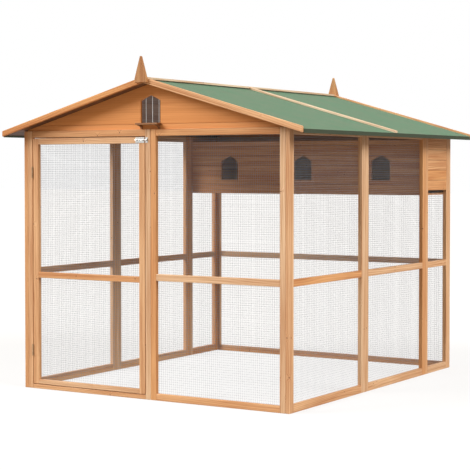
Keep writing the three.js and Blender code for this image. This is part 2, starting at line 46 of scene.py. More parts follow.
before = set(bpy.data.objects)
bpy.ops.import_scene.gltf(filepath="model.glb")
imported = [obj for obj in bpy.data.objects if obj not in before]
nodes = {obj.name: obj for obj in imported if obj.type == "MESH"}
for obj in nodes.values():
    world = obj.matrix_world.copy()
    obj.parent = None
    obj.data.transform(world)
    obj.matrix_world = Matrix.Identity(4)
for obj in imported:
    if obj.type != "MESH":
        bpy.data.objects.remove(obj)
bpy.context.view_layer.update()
X, Y, Z = Vector((1, 0, 0)), Vector((0, 1, 0)), Vector((0, 0, 1))

WHITE = (1, 1, 1, 1)
MILLIMETRE = 0.001

# Softwood: counts to a metre along and across the grain, and how much each part of the figure weighs.
WANDER, DRIFT, STREAK, FIBRE = (3, 16, 1), (0.9, 9, 1), (1.6, 42, 1), (30, 900, 1)
WANDER_REACH = 20 * MILLIMETRE
KNOT_CELLS = 20.0
KNOT_CORE, KNOT_RIM, SWIRL_REACH = 0.04, 0.09, 0.5
RINGS, RING_DRIFT, RING_SWIRL, LATE_WOOD = 620.0, 46.0, 9.0, 2.2
LATE_WEIGHT, STREAK_WEIGHT, FIBRE_WEIGHT = 0.30, 0.62, 0.16
FIBRE_RISE, LATE_FALL = 0.5, 0.4
WOOD_ROUGH, WOOD_ROUGHER = 0.56, 0.7
WOOD_BUMP, WOOD_RELIEF = 0.35, 0.6 * MILLIMETRE

# Boarding
# Grooves between boards: relief by a bump, and a darkening that is painted shade
GROOVE_SHARE, GROOVE_SHADE_SHARE, GROOVE_SHADE = 0.035, 0.6, (0.02, 0.01, 0.004, 1.0)
BOARD_SHIFT = 9.0
FEW_KNOTS, SOME_KNOTS, MORE_KNOTS = 0.02, 0.03, 0.05

# Felt: clouds and granules to a metre, the cuts that let it lie in waves, and the part turned down, which
# takes a darker felt as painted shade
FELT_CLOUDS, FELT_GRANULES = (7, 11, 7), 520.0
FELT_ROUGHNESS, FELT_BUMP, FELT_RELIEF = 0.95, 0.6, 0.9 * MILLIMETRE
FELT_CUTS = 24
FELT_WAVES, WAVE_LEVEL = (5, 7), 0.4
FELT_EDGE, FELT_TURN = 4 * MILLIMETRE, 30 * MILLIMETRE

# Mesh work
WELD, CUT = 0.01 * MILLIMETRE, 0.02 * MILLIMETRE
FLAT = 0.02
ROOT, HEAD_ROOT = 1 * MILLIMETRE, 0.4 * MILLIMETRE
NAIL_HEAD = 0.8 * MILLIMETRE
NAIL_SIDES, SCREW_SIDES = 10, 12


# Sizes and colours


def length(name, description, default):
    return FloatProperty(name=name, description=description, default=default, min=0, unit="LENGTH")


def angle(name, description, degrees):
    return FloatProperty(name=name, description=description, default=math.radians(degrees), unit="ROTATION")


def amount(name, description, default):
    return FloatProperty(name=name, description=description, default=default, min=0)


def direction(name, description, default):
    return FloatVectorProperty(name=name, description=description, default=default, subtype="XYZ")


def colour(name, description, default):
    return FloatVectorProperty(
        name=name, description=description, default=default, size=4, min=0, max=1, subtype="COLOR"
    )


class LoftTimber(PropertyGroup):
    """Sections and stains of the loft's timbers, with painted shade darkening the gable, roof deck and ledge
    colours.
    """

    arris: length("Arris", "Round taken off each edge of a planed timber", 0.0022)
    side_stile: length("Side stile", "Width of an upright in the side walls", 0.042)
    nest_stile: length("Nest bay stile", "Width of an upright beside the nest boxes", 0.036)
    back_stile: length("Back stile", "Width of an upright in the back wall", 0.04)
    front_stile: length("Front stile", "Width of an upright in the front wall", 0.034)
    door_stile: length("Door stile", "Width of an upright of the door", 0.038)
    rail: length("Rail", "Height of a wall's middle and top rails", 0.036)
    foot_rail: length("Foot rail", "Height of the bottom rail of a side wall", 0.042)
    middle_rail: length("Middle rail level", "Height of the middle rail's underside", 0.64)
    sill: length("Sill", "Height of the doorway's sill", 0.024)
    door_foot: length("Door foot", "Height of the door's bottom rail", 0.025)
    door_middle: length("Door rail", "Height of the door's middle rail", 0.032)
    door_drop: length("Door rail drop", "Middle rail of the door below that of the walls", 0.014)
    door_head: length("Door head", "Height of the door's top rail", 0.034)
    board_cover: length("Board cover", "Height of a board at the nest boxes", 0.061)
    gable_joint: length("Gable joint", "Height of the joint in the gable", 0.028)
    gable_cover: length("Gable board", "Height of a gable board", 0.3)
    pale: colour("Pale stain", "Stained softwood, palest timbers", (0.84, 0.605, 0.385, 1))
    deep: colour("Deep stain", "Stained softwood, deepest timbers", (0.78, 0.39, 0.135, 1))
    ring: colour("Growth ring", "Tint of late wood over early wood", (0.56, 0.36, 0.24, 1))
    knot: colour("Knot", "Heart of a knot", (0.20, 0.08, 0.03, 1))
    # Gable stains: more orange than the frames, and darkened as painted shade from the eaves
    gable_shade_pale: colour("Pale gable", "Gable boards, pale", (0.84, 0.375, 0.125, 1))
    gable_shade_deep: colour("Deep gable", "Gable boards, deep", (0.80, 0.33, 0.09, 1))
    # Roof deck colours: darkened to a dark brown as painted shade under the roof
    deck_shade_pale: colour("Pale deck", "Underside of the roof, pale", (0.20, 0.10, 0.045, 1))
    deck_shade_deep: colour("Deep deck", "Underside of the roof, deep", (0.13, 0.06, 0.025, 1))
    bare_pale: colour("Pale batten", "Bare softwood, pale", (0.93, 0.84, 0.69, 1))
    bare_deep: colour("Deep batten", "Bare softwood, deep", (0.86, 0.70, 0.50, 1))
    finial_pale: colour("Pale finial", "Ridge finials, pale", (0.62, 0.36, 0.16, 1))
    finial_deep: colour("Deep finial", "Ridge finials, deep", (0.52, 0.27, 0.10, 1))
    # Ledge colours: darkened as painted shade, for the ledge and its brackets
    ledge_shade_pale: colour("Pale ledge", "Landing ledge, pale", (0.36, 0.18, 0.07, 1))
    ledge_shade_deep: colour("Deep ledge", "Landing ledge, deep", (0.24, 0.11, 0.035, 1))
    nest_pale: colour("Pale nest board", "Nest boards, pale", (0.78, 0.45, 0.215, 1))
    nest_deep: colour("Deep nest board", "Nest boards, deep", (0.64, 0.32, 0.12, 1))


class LoftNetting(PropertyGroup):
    """The welded wire mesh."""

    pitch: length("Mesh", "Distance between two wires", 0.0127)
    wire: length("Wire", "Diameter of a wire", 0.0008)
    sides: IntProperty(name="Sides", description="Faces round a wire", default=6, min=3)
    zinc: colour("Zinc", "Galvanised wire", (0.425, 0.44, 0.47, 1))


class LoftRoof(PropertyGroup):
    """The felted roof."""

    pitch: angle("Pitch", "Slope of the roof", 15.85)
    felt: colour("Felt", "Mineral felt, green granules", (0.105, 0.215, 0.13, 1))
    felt_grey: colour("Grey felt", "Mineral felt, grey granules", (0.135, 0.212, 0.137, 1))
    # Felt of the turned-down eave: a darker copy of the felt, as painted shade
    eave_felt_shade: colour("Eave felt", "Felt turned down over the eave", (0.045, 0.062, 0.035, 1))
    deck_board: length("Deck board", "Width of a roof board", 0.098)
    wave: length("Wave", "Rise of the felt where it lies hollow", 0.0007)
    nail_step: length("Nail step", "Distance between two clout nails", 0.15)
    nail_radius: length("Nail radius", "Radius of a clout nail's head", 0.003)
    nail: colour("Nail", "Dull galvanised nail", (0.10, 0.11, 0.09, 1))


class LoftFittings(PropertyGroup):
    """Hinges, bolt, bob wires and screws."""

    aged: colour("Aged zinc", "Hinges, dulled by the stain", (0.42, 0.28, 0.16, 1))
    zinc: colour("Bright zinc", "Zinc plated steel", (0.66, 0.65, 0.62, 1))
    screw_radius: length("Screw head", "Radius of a screw head", 0.0026)
    screw_height: length("Screw height", "Height of a screw head", 0.0012)
    screw_step: length("Screw step", "Distance along the bolt's plate between two screws", 0.012)
    screw_rise: length("Screw rise", "Distance of a screw from the middle of the bolt's plate", 0.0115)
    plate: length("Plate", "Thickness of the bolt's plates", 0.0015)


class LoftStage(PropertyGroup):
    """Floor, lamps and camera."""

    floor: colour("Floor", "Colour that the floor reflects", (0.28, 0.23, 0.18, 1))
    ground: colour("Ground", "Colour that the camera and metal see of the floor", (0.9, 0.9, 0.9, 1))
    glow: amount("Glow", "Share of plain white in the floor that the camera sees", 0.8)
    floor_half: length("Floor half", "Half the width of the floor", 60)
    level: amount("Level light", "Strength of the light from the horizon", 0.24)
    overhead: amount("Overhead light", "Strength of the light from above", 0.55)
    warmth: colour("Warmth", "Colour of the light from the horizon and above", (1.0, 0.78, 0.52, 1))
    left: amount("Left light", "Strength of the light from the front left", 3.05)
    left_from: direction("Left light from", "Where the light at the front left stands", (-0.62, -0.60, 0.62))
    right: amount("Right light", "Strength of the light from the right", 2.55)
    right_from: direction("Right light from", "Where the light at the right stands", (0.80, -0.10, 0.56))
    spread: angle("Spread", "Width of the soft light", 32)
    camera_at: direction("Camera", "Where the camera stands", (4.432, -7.325, 1.239))
    yaw: angle("Yaw", "Turn of the camera from straight ahead, to the right", -31.677)
    tilt: angle("Tilt", "Tilt of the camera above level", -1.708)
    focal: amount("Focal length", "Camera's focal length in mm", 110.6)
    rise: FloatProperty(name="Rise", description="Upward shift of the camera, in frames", default=-0.05)
    reach: length("Reach", "Furthest distance that the camera sees", 200)


# Shader nodes


class Shader:
    """Adds nodes to one tree and joins them."""

    def __init__(self, tree):
        self.tree = tree

    def add(self, kind, feeds=None, **settings):
        new = self.tree.nodes.new(kind)
        new.location = (190 * (len(self.tree.nodes) % 9), -260 * (len(self.tree.nodes) // 9))
        for name, value in settings.items():
            setattr(new, name, value)
        for socket, value in (feeds or {}).items():
            self.feed(new.inputs[socket], value)
        return new

    def feed(self, socket, value):
        if isinstance(value, bpy.types.NodeSocket):
            self.tree.links.new(value, socket)
        else:
            socket.default_value = value

    def math(self, operation, a, b=0.0, clamp=False):
        return self.add("ShaderNodeMath", {0: a, 1: b}, operation=operation, use_clamp=clamp).outputs[0]

    def between(self, value, low, high, to_low=0.0, to_high=1.0):
        feeds = {0: value, 1: low, 2: high, 3: to_low, 4: to_high}
        return self.add("ShaderNodeMapRange", feeds, interpolation_type="SMOOTHSTEP").outputs[0]

    def stretch(self, vector, scale, shift=(0, 0, 0)):
        feeds = {"Vector": vector, "Scale": scale, "Location": shift}
        return self.add("ShaderNodeMapping", feeds).outputs[0]

    def noise(self, vector, scale, detail=2.0, roughness=0.5):
        feeds = {"Vector": vector, "Scale": scale, "Detail": detail, "Roughness": roughness}
        return self.add("ShaderNodeTexNoise", feeds).outputs["Fac"]

    def mix(self, factor, a, b, blend="MIX"):
        feeds = {0: factor, 6: a, 7: b}
        return self.add("ShaderNodeMix", feeds, data_type="RGBA", blend_type=blend).outputs[2]

    def apart(self, vector):
        return self.add("ShaderNodeSeparateXYZ", {0: vector}).outputs

    def together(self, x, y, z=0.0):
        return self.add("ShaderNodeCombineXYZ", {0: x, 1: y, 2: z}).outputs[0]

    def place(self):
        return self.add("ShaderNodeTexCoord").outputs["Object"]

    def backdrop(self):
        """1 for the rays that see the background: camera, glossy and transmission rays."""
        path = self.add("ShaderNodeLightPath").outputs
        seen = self.math("MAXIMUM", path["Is Camera Ray"], path["Is Glossy Ray"])
        return self.math("MAXIMUM", seen, path["Is Transmission Ray"])

    def shared(self, group, feeds):
        new = self.add("ShaderNodeGroup", node_tree=group)
        for socket, value in feeds.items():
            self.feed(new.inputs[socket], value)
        return new.outputs


def shared_nodes(name, inputs, outputs):
    """A node group with named sockets, and a Shader that fills it."""
    tree = bpy.data.node_groups.new(name, "ShaderNodeTree")
    for label, kind, default in inputs:
        socket = tree.interface.new_socket(label, in_out="INPUT", socket_type="NodeSocket" + kind)
        if default is not None:
            socket.default_value = default
    for label, kind in outputs:
        tree.interface.new_socket(label, in_out="OUTPUT", socket_type="NodeSocket" + kind)
    shader = Shader(tree)
    return tree, shader, shader.add("NodeGroupInput").outputs, shader.add("NodeGroupOutput").inputs


def softwood_figure():
    """Growth rings, fibres and knots, from grain coordinates in metres: along, across, through."""
    name = "Softwood figure"
    if name in bpy.data.node_groups:
        return bpy.data.node_groups[name]
    inputs = [("Grain", "Vector", None), ("Knots", "Float", 0.2)]
    outputs = [("Figure", "Float"), ("Knot", "Float"), ("Height", "Float")]
    tree, s, given, result = shared_nodes(name, inputs, outputs)
    along, across, through = s.apart(given["Grain"])
    face = s.math("ADD", across, through)
    flat = s.together(along, face)
    wander = s.noise(s.stretch(flat, WANDER), 1.0)
    bent = s.together(s.math("ADD", along, s.math("MULTIPLY", wander, WANDER_REACH)), face)
    cells = s.add("ShaderNodeTexVoronoi", {"Vector": bent, "Scale": KNOT_CELLS}, voronoi_dimensions="2D")
    chance = s.add("ShaderNodeSeparateColor", {0: cells.outputs["Color"]}).outputs[0]
    present = s.math("LESS_THAN", chance, given["Knots"])
    distance = cells.outputs["Distance"]
    knot = s.math("MULTIPLY", s.between(distance, KNOT_CORE, KNOT_RIM, 1.0, 0.0), present)
    swirl = s.math("MULTIPLY", s.between(distance, 0.0, SWIRL_REACH, 1.0, 0.0), present)
    drift = s.noise(s.stretch(flat, DRIFT), 1.0)
    rings = s.math("ADD", s.math("MULTIPLY", face, RINGS), s.math("MULTIPLY", drift, RING_DRIFT))
    rings = s.math("ADD", rings, s.math("MULTIPLY", swirl, RING_SWIRL))
    late = s.math("POWER", s.between(s.math("SINE", rings), -1.0, 1.0), LATE_WOOD)
    streak = s.noise(s.stretch(flat, STREAK), 1.0, 4.0, 0.6)
    fibre = s.noise(s.stretch(flat, FIBRE), 1.0)
    streaks = s.between(streak, 0.3, 0.72, 0.0, STREAK_WEIGHT)
    figure = s.math("ADD", s.math("MULTIPLY", late, LATE_WEIGHT), streaks)
    figure = s.math("ADD", figure, s.math("MULTIPLY", fibre, FIBRE_WEIGHT), clamp=True)
    height = s.math("SUBTRACT", s.math("MULTIPLY", fibre, FIBRE_RISE), s.math("MULTIPLY", late, LATE_FALL))
    s.feed(result["Figure"], figure)
    s.feed(result["Knot"], knot)
    s.feed(result["Height"], height)
    return tree


def board_courses():
    """Splits boarding into courses: grain coordinates and a tone of its own for each, and the groove."""
    name = "Board courses"
    if name in bpy.data.node_groups:
        return bpy.data.node_groups[name]
    inputs = [("Along", "Float", 0.0), ("Up", "Float", 0.0), ("Through", "Float", 0.0)]
    inputs += [("First joint", "Float", 0.0), ("Cover", "Float", 0.06)]
    outputs = [("Grain", "Vector"), ("Tone", "Float"), ("Groove", "Float")]
    tree, s, given, result = shared_nodes(name, inputs, outputs)
    height = s.math("DIVIDE", s.math("SUBTRACT", given["Up"], given["First joint"]), given["Cover"])
    course = s.math("FLOOR", height)
    part = s.math("SUBTRACT", height, course)
    edge = s.math("MINIMUM", part, s.math("SUBTRACT", 1.0, part))
    seed = s.math("ADD", course, 0.31)
    tone = s.add("ShaderNodeTexWhiteNoise", {"W": seed}, noise_dimensions="1D").outputs[0]
    shift = s.math("MULTIPLY", tone, BOARD_SHIFT)
    across = s.math("ADD", given["Up"], shift)
    s.feed(result["Grain"], s.together(s.math("ADD", given["Along"], shift), across, given["Through"]))
    s.feed(result["Tone"], tone)
    s.feed(result["Groove"], s.between(edge, 0.0, GROOVE_SHARE, 1.0, 0.0))
    return tree


def stained_wood():
    """Colour of one board: between a pale and a deep stain by its tone, ringed, knotted, and darkened in the
    groove as painted shade.
    """
    name = "Stained wood"
    if name in bpy.data.node_groups:
        return bpy.data.node_groups[name]
    inputs = [(colour_name, "Color", None) for colour_name in ("Pale", "Deep", "Ring", "Heart")]
    inputs += [("Tone", "Float", 0.5), *((mask, "Float", 0.0) for mask in ("Figure", "Knot", "Groove"))]
    tree, s, given, result = shared_nodes(name, inputs, [("Color", "Color")])
    board = s.mix(given["Tone"], given["Deep"], given["Pale"])
    ringed = s.mix(given["Figure"], board, given["Ring"], "MULTIPLY")
    knotted = s.mix(given["Knot"], ringed, given["Heart"])
    # Darkens the groove as painted shade
    groove = s.math("MULTIPLY", given["Groove"], GROOVE_SHADE_SHARE)
    s.feed(result["Color"], s.mix(groove, knotted, GROOVE_SHADE))
    return tree


def new_material(name):
    """A material with an empty tree, its Shader and its Principled BSDF."""
    material = bpy.data.materials.new(name)
    material.use_nodes = True
    s = Shader(material.node_tree)
    surface = material.node_tree.nodes["Principled BSDF"]
    return material, s, surface


def timber(name, pale, deep, grain, knots=0.06, figured=1.0, joint=1.0):
    """Softwood. grain is called with the Shader and gives the grain vector, tone and groove."""
    if name in bpy.data.materials:
        return bpy.data.materials[name]
    settings = bpy.context.scene.loft_timber
    material, s, surface = new_material(name)
    vector, tone, groove = grain(s)
    figure = s.shared(softwood_figure(), {"Grain": vector, "Knots": knots})
    feeds = {
        "Pale": tuple(pale),
        "Deep": tuple(deep),
        "Ring": tuple(settings.ring),
        "Heart": tuple(settings.knot),
        "Tone": tone,
        "Figure": s.math("MULTIPLY", figure["Figure"], figured),
        "Knot": figure["Knot"],
        "Groove": s.math("MULTIPLY", groove, joint),
    }
    s.feed(surface.inputs["Base Color"], s.shared(stained_wood(), feeds)["Color"])
    s.feed(surface.inputs["Roughness"], s.between(figure["Figure"], 0.0, 1.0, WOOD_ROUGH, WOOD_ROUGHER))
    height = s.math("SUBTRACT", figure["Height"], groove)
    bump = s.add("ShaderNodeBump", {"Height": height, "Strength": WOOD_BUMP, "Distance": WOOD_RELIEF})
    s.feed(surface.inputs["Normal"], bump.outputs[0])
    return material


def carried_grain(s):
    """Grain and tone that each timber carries in its own mesh."""
    vector = s.add("ShaderNodeAttribute", attribute_name="grain").outputs["Vector"]
    tone = s.add("ShaderNodeAttribute", attribute_name="tone").outputs["Fac"]
    return vector, tone, 0.0


def courses(along, up, first, cover):
    """Grain of boarding whose boards run along one axis and are laid up another, by axis number."""

    def grain(s):
        place = s.apart(s.place())
        through = 3 - along - up
        feeds = {"Along": place[along], "Up": place[up], "Through": place[through]}
        out = s.shared(board_courses(), {**feeds, "First joint": first, "Cover": cover})
        return out["Grain"], out["Tone"], out["Groove"]

    return grain


def plain_timber():
    settings = bpy.context.scene.loft_timber
    return timber("Stained softwood", settings.pale, settings.deep, carried_grain)


def bare_timber():
    settings = bpy.context.scene.loft_timber
    return timber("Bare softwood", settings.bare_pale, settings.bare_deep, carried_grain, FEW_KNOTS)


def shaded(base, share):
    """A colour darkened to a share of itself."""
    return tuple(share * part for part in base[:3]) + (1.0,)


def metal(name, base, roughness, metallic=1.0):
    """Zinc on steel, clouded a little."""
    if name in bpy.data.materials:
        return bpy.data.materials[name]
    material, s, surface = new_material(name)
    cloud = s.noise(s.place(), 90.0, 3.0)
    s.feed(surface.inputs["Base Color"], s.mix(s.between(cloud, 0.35, 0.7), tuple(base), shaded(base, 0.75)))
    s.feed(surface.inputs["Roughness"], s.between(cloud, 0.3, 0.75, roughness, roughness + 0.16))
    surface.inputs["Metallic"].default_value = metallic
    return material


def felt_material(name, green, grey):
    """Mineral felt: coarse granules, and broad clouds of two greens."""
    if name in bpy.data.materials:
        return bpy.data.materials[name]
    material, s, surface = new_material(name)
    place = s.place()
    broad = s.noise(s.stretch(place, FELT_CLOUDS), 1.0, 5.0, 0.68)
    grain = s.add("ShaderNodeTexVoronoi", {"Vector": place, "Scale": FELT_GRANULES})
    speck = s.add("ShaderNodeSeparateColor", {0: grain.outputs["Color"]}).outputs[0]
    felt = s.mix(s.between(broad, 0.38, 0.62), tuple(green), tuple(grey))
    felt = s.mix(s.between(speck, 0.0, 1.0, 0.0, 0.4), felt, shaded(green, 0.45))
    s.feed(surface.inputs["Base Color"], felt)
    surface.inputs["Roughness"].default_value = FELT_ROUGHNESS
    feeds = {"Height": grain.outputs["Distance"], "Strength": FELT_BUMP, "Distance": FELT_RELIEF}
    bump = s.add("ShaderNodeBump", feeds)
    s.feed(surface.inputs["Normal"], bump.outputs[0])
    return material


# Mesh work


def join(whole, part):
    """Adds a bmesh to another and frees it."""
    data = bpy.data.meshes.new("part")
    part.to_mesh(data)
    part.free()
    whole.from_mesh(data)
    bpy.data.meshes.remove(data)


class Bench:
    """Gathers finished timbers in one mesh, each with its own grain, shift and tone."""

    def __init__(self, name):
        self.name = name
        self.chance = random.Random(name)
        self.whole = bmesh.new()
        self.layers(self.whole)

    @staticmethod
    def layers(mesh):
        return mesh.verts.layers.float_vector.new("grain"), mesh.verts.layers.float.new("tone")

    def put(self, part, along, across, tone=None):
        """Adds a part, whose grain runs along one direction, and frees it."""
        grain, shade = self.layers(part)
        shift = Vector([self.chance.uniform(0, 8) for _ in range(3)])
        tone = self.chance.random() if tone is None else tone
        through = along.cross(across)
        for vert in part.verts:
            spot = Vector((vert.co.dot(along), vert.co.dot(across), vert.co.dot(through)))
            vert[grain] = spot + shift
            vert[shade] = tone
        join(self.whole, part)

    def done(self, material, body, replaced=()):
        return finished(self.whole, self.name, material, body, replaced)


def finished(mesh, name, material, body, replaced=()):
    """Makes an object of a bmesh, dresses it, and lets it ride on its body."""
    data = bpy.data.meshes.new(name)
    mesh.to_mesh(data)
    mesh.free()
    data.materials.append(material)
    piece = bpy.data.objects.new(name, data)
    bpy.context.scene.collection.objects.link(piece)
    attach(piece, body)
    if replaced:
        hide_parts(*replaced)
    return piece


def dress(node, material):
    """Gives a CAD node its material."""
    data = nodes[node].data
    data.materials.clear()
    data.materials.append(material)


def ease(mesh, arris, edges=None):
    """Rounds a mesh's edges, all of them unless some are given."""
    if arris > 0:
        bmesh.ops.bevel(
            mesh,
            geom=mesh.edges[:] if edges is None else edges,
            offset=arris,
            offset_type="OFFSET",
            affect="EDGES",
            segments=2,
            profile=0.5,
            material=-1,
        )


def planed(low, high, arris):
    """A square timber between two corners, with eased edges."""
    low, high = Vector(low), Vector(high)
    mesh = bmesh.new()
    place = Matrix.Translation((low + high) / 2) @ Matrix.Diagonal((*(high - low), 1))
    bmesh.ops.create_cube(mesh, size=1, matrix=place)
    ease(mesh, arris)
    return mesh


def rod(mesh, start, end, radius, sides):
    """Adds a closed round bar between two points."""
    start, end = Vector(start), Vector(end)
    line = end - start
    place = Matrix.Translation((start + end) / 2) @ line.to_track_quat("Z", "Y").to_matrix().to_4x4()
    bmesh.ops.create_cone(
        mesh,
        cap_ends=True,
        segments=sides,
        radius1=radius,
        radius2=radius,
        depth=line.length,
        matrix=place,
    )


# Framed walls


def framed(node, across, stile, rails, body="loft", tones=()):
    """Two stiles with rails between them, in place of a CAD frame, with the stiles' tones if given."""
    arris = bpy.context.scene.loft_timber.arris
    low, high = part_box(node)
    bench = Bench(node + "_timbers")
    axis = 0 if across == X else 1
    left, right = low[axis], high[axis]

    def member(start, end, bottom, top, along, over, tone=None):
        a, b = low.copy(), high.copy()
        a[axis], b[axis] = start, end
        a.z, b.z = bottom, top
        bench.put(planed(a, b, arris), along, over, tone)

    first, last = tones or (None, None)
    member(left, left + stile, low.z, high.z, Z, across, first)
    member(right - stile, right, low.z, high.z, Z, across, last)
    for bottom, top in rails:
        member(left + stile, right - stile, bottom, top, across, Z)
    return bench.done(plain_timber(), body, [node])


class LOFT_OT_walls(Operator):
    """Build the framed wall panels from planed timbers"""

    bl_idname = "loft.walls"
    bl_label = "Wall frames"

    def execute(self, context):
        t = context.scene.loft_timber
        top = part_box("front_panel_frame")[1].z
        middle = (t.middle_rail, t.middle_rail + t.rail)
        head = (top - t.rail, top)
        foot = (0.0, t.rail)
        framed("front_panel_frame", X, t.front_stile, [foot, middle, head], tones=(0.2, 1.0))
        framed("door_frame", X, t.front_stile, [(0.0, t.sill), head], tones=(0.6, 1.0))
        for side in ("right", "left"):
            for bay, stile in (("front", t.side_stile), ("middle", t.side_stile), ("nest", t.nest_stile)):
                framed(f"{side}_{bay}_frame", Y, stile, [(0.0, t.foot_rail), middle, head])
        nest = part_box("nest_front")[0].z
        framed("back_frame", X, t.back_stile, [foot, middle, (nest, nest + t.rail), head])
        return {"FINISHED"}


class LOFT_OT_door(Operator):
    """Build the door leaf from planed timbers"""

    bl_idname = "loft.door"
    bl_label = "Door"

    def execute(self, context):
        t = context.scene.loft_timber
        low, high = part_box("door_leaf")
        middle = t.middle_rail - t.door_drop
        foot, head = (low.z, low.z + t.door_foot), (high.z - t.door_head, high.z)
        rails = [foot, (middle, middle + t.door_middle), head]
        framed("door_leaf", X, t.door_stile, rails, "door", (0.5, 0.6))
        return {"FINISHED"}


# Netting


def welded_net(node, body):
    """A welded net: upright wires in front, level wires behind, half sunk into each other."""
    net = bpy.context.scene.loft_netting
    low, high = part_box(node)
    mesh = bmesh.new()
    axis = 0 if high.x - low.x > high.y - low.y else 1
    depth = 1 - axis
    radius = net.wire / 2
    centre = (low[depth] + high[depth]) / 2
    offset = 0.8 * radius

    def places(start, end):
        count = max(1, int((end - start - net.wire) / net.pitch))
        first = (start + end - count * net.pitch) / 2
        return [first + i * net.pitch for i in range(count + 1)]

    for spaced, side in ((axis, -1), (2, 1)):
        for spot in places(low[spaced], high[spaced]):
            start, end = low.copy(), high.copy()
            start[spaced] = end[spaced] = spot
            start[depth] = end[depth] = centre + side * offset
            rod(mesh, start, end, radius, net.sides)
    material = metal("Galvanised wire", net.zinc, 0.42, 0.3)
    return finished(mesh, node + "_wires", material, body, [node])


class LOFT_OT_netting(Operator):
    """Weave the welded netting of each bay"""

    bl_idname = "loft.netting"
    bl_label = "Netting"

    def execute(self, context):
        for node in sorted(nodes):
            if node.endswith("_net"):
                welded_net(node, "door" if node == "door_net" else "loft")
        return {"FINISHED"}


# Boarding, gables and nest boxes


class LOFT_OT_boarding(Operator):
    """Finish the boarded gables and the boarded bays"""

    bl_idname = "loft.boarding"
    bl_label = "Boarding"

    def execute(self, context):
        t = context.scene.loft_timber
        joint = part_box("front_gable")[0].z + t.gable_joint
        grain = courses(0, 2, joint, t.gable_cover)
        # The gable boards' stain is partly painted shade from the eaves
        gable = timber("Gable boards", t.gable_shade_pale, t.gable_shade_deep, grain, 0.0, 0.35, 0.2)
        for node in ("front_gable", "back_gable"):
            dress(node, gable)
        for node, along in (("right_nest_cladding", 1), ("left_nest_cladding", 1), ("back_cladding", 0)):
            grain = courses(along, 2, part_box(node)[0].z, t.board_cover)
            dress(node, timber(node.replace("_", " ").capitalize(), t.pale, t.deep, grain, SOME_KNOTS))
        return {"FINISHED"}


class LOFT_OT_nest_boxes(Operator):
    """Finish the bank of nest boxes"""

    bl_idname = "loft.nest_boxes"
    bl_label = "Nest boxes"

    def execute(self, context):
        t = context.scene.loft_timber
        pale, deep = t.nest_pale, t.nest_deep
        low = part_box("nest_front")[0]
        for name, along, up, node_names in (
            ("Nest front boards", 0, 2, ("nest_front",)),
            ("Nest level boards", 0, 1, ("nest_floor", "nest_lid")),
            ("Nest partition boards", 1, 2, ("left_nest_partition", "right_nest_partition")),
        ):
            boards = timber(name, pale, deep, courses(along, up, low[up], t.board_cover), MORE_KNOTS)
            for node in node_names:
                dress(node, boards)
        return {"FINISHED"}


class LOFT_OT_entry(Operator):
    """Finish the pigeon entry: ledge, brackets, rod and bob wires"""

    bl_idname = "loft.entry"
    bl_label = "Pigeon entry"

    def execute(self, context):
        t = context.scene.loft_timber
        zinc = metal("Bright wire", context.scene.loft_fittings.zinc, 0.3)
        for node in ("bob_rod", "bob_wire_1", "bob_wire_2", "bob_wire_3"):
            dress(node, zinc)
        low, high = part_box("landing_ledge")
        # The ledge and its brackets are darkened as painted shade
        pale, deep = t.ledge_shade_pale, t.ledge_shade_deep
        ledge = Bench("landing_ledge_board")
        ledge.put(planed(low, high, t.arris), X, Y, 0.75)
        ledge.done(timber("Ledge wood", pale, deep, carried_grain, 0.0), "loft", ["landing_ledge"])
        bracket = timber("Bracket wood", pale, deep, courses(2, 1, 0.0, t.gable_cover), 0.0)
        for side in ("left", "right"):
            dress(f"{side}_ledge_bracket", bracket)
        return {"FINISHED"}


# Roof


def merged_copy(node):
    """A bmesh of a CAD node, its corners merged."""
    mesh = bmesh.new()
    mesh.from_mesh(nodes[node].data)
    bmesh.ops.remove_doubles(mesh, verts=mesh.verts[:], dist=WELD)
    return mesh


def laid_felt(node):
    """The felt sheet, a little wavy as it lies on the boards, its turned-down eave darker as painted shade.
    """
    roof = bpy.context.scene.loft_roof
    mesh = merged_copy(node)
    low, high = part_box(node)
    for i in range(1, FELT_CUTS):
        at = low + (high - low) * (i / FELT_CUTS)
        for normal in (Y, X):
            everything = mesh.verts[:] + mesh.edges[:] + mesh.faces[:]
            bmesh.ops.bisect_plane(mesh, geom=everything, dist=CUT, plane_co=at, plane_no=normal)
    outer = max(abs(low.x), abs(high.x))
    for vert in mesh.verts:
        if abs(vert.co.x) < outer - FELT_EDGE and vert.normal.z > 0:
            lift = noise.noise(Vector((vert.co.x * FELT_WAVES[0], vert.co.y * FELT_WAVES[1], WAVE_LEVEL)))
            vert.co.z += roof.wave * (1 + lift)
    material = felt_material("Mineral felt", roof.felt, roof.felt_grey)
    sheet = finished(mesh, node + "_sheet", material, "loft", [node])
    # The downturned faces take the darker felt, as painted shade
    sheet.data.materials.append(felt_material("Eave felt", roof.eave_felt_shade, roof.eave_felt_shade))
    for face in sheet.data.polygons:
        if face.normal.z < 0.5 and abs(face.center.x) > outer - FELT_TURN:
            face.material_index = 1


def clout_nails(half, side):
    """A row of clout nails through the felt, under the eave."""
    roof = bpy.context.scene.loft_roof
    low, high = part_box(f"{half}_{side}_felt")
    sign = 1 if side == "right" else -1
    outer = max(abs(low.x), abs(high.x))
    fall = math.tan(roof.pitch)
    nails = bmesh.new()
    count = int((high.y - low.y) / roof.nail_step)
    x = outer - 4 * roof.nail_radius
    z = low.z + fall * (outer - x)
    down = Vector((-sign * math.sin(roof.pitch), 0, -math.cos(roof.pitch)))
    for i in range(count):
        spot = Vector((sign * x, low.y + (i + 0.5) * (high.y - low.y) / count, z))
        rod(nails, spot - ROOT * down, spot + NAIL_HEAD * down, roof.nail_radius, NAIL_SIDES)
    dull = metal("Clout nails", roof.nail, 0.6)
    finished(nails, f"{half}_{side}_clout_nails", dull, "loft")


